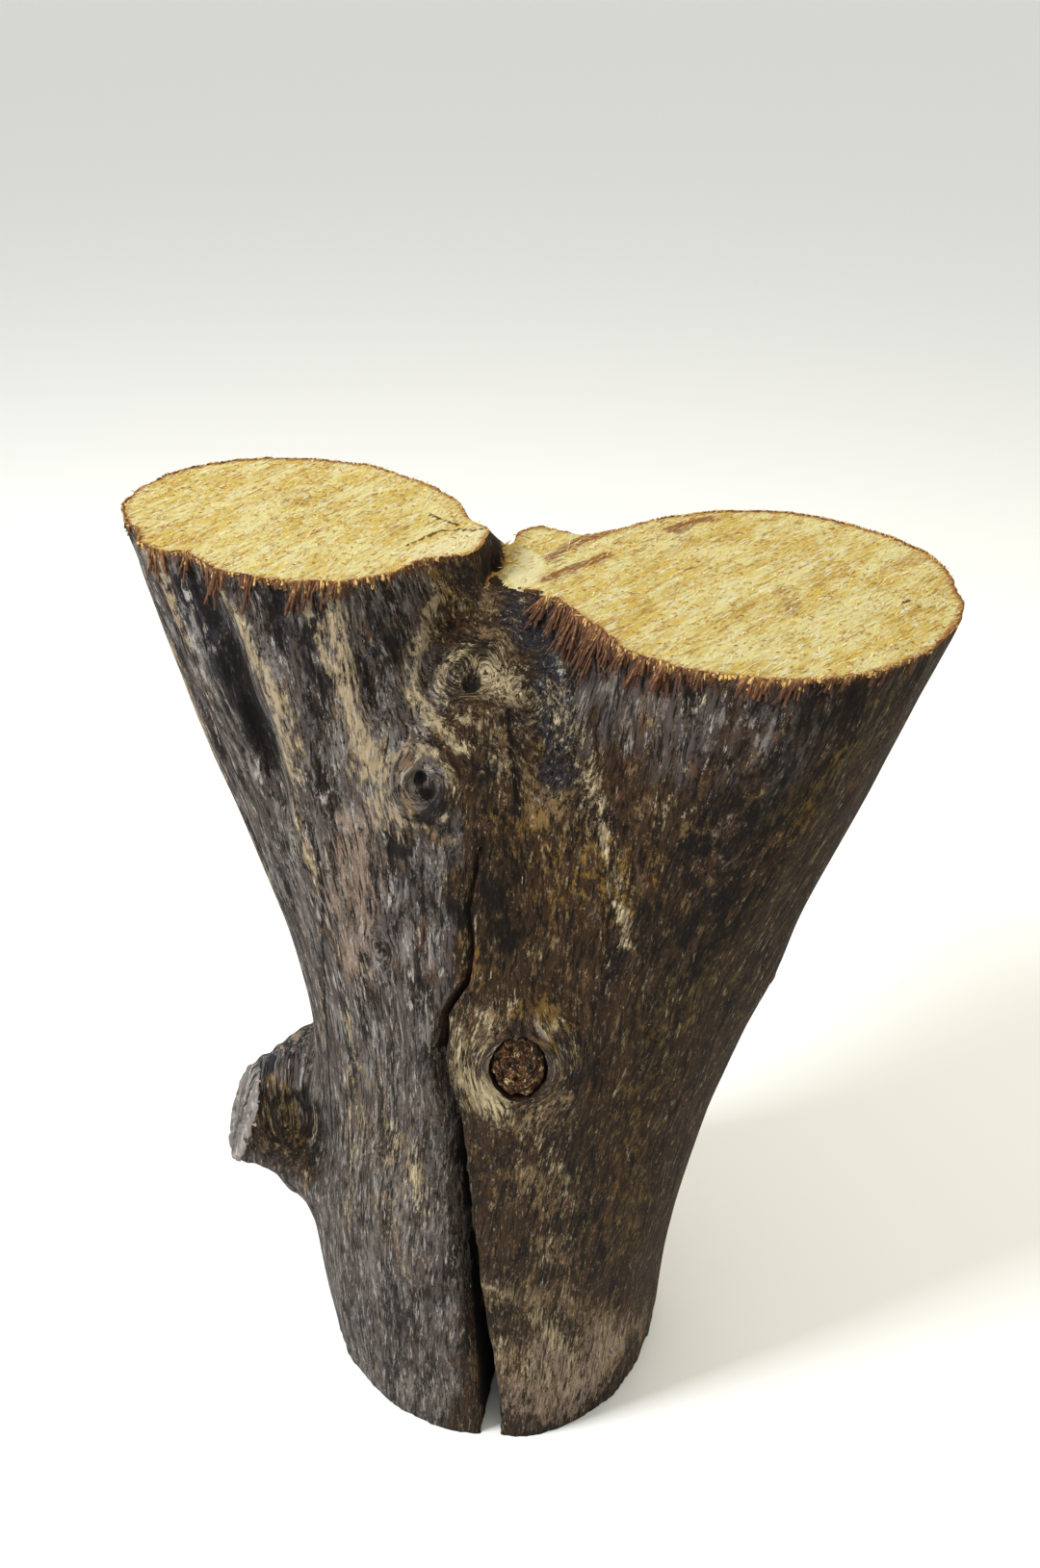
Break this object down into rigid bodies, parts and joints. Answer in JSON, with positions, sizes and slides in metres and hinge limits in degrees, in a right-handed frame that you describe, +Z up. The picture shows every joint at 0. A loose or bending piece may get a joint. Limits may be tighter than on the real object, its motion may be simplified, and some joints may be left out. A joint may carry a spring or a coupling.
{
  "type": "wood log",
  "caption": "Forked log of weathered wood without bark, sawn level at the foot and across both limbs, with a long drying crack, knots and a branch stub.",
  "frame": {"origin": "middle of the sawn foot, on the plane that the log stands on", "axes": "+Z up, along the trunk, +X from the left limb towards the right limb, -Y the side with the long crack"},
  "size_m": [0.4126, 0.2529, 0.5239],
  "materials": {
    "wood": "weathered, matte"
  },
  "bodies": {
    "root": {"log": "wood"}
  },
  "joints": []
}
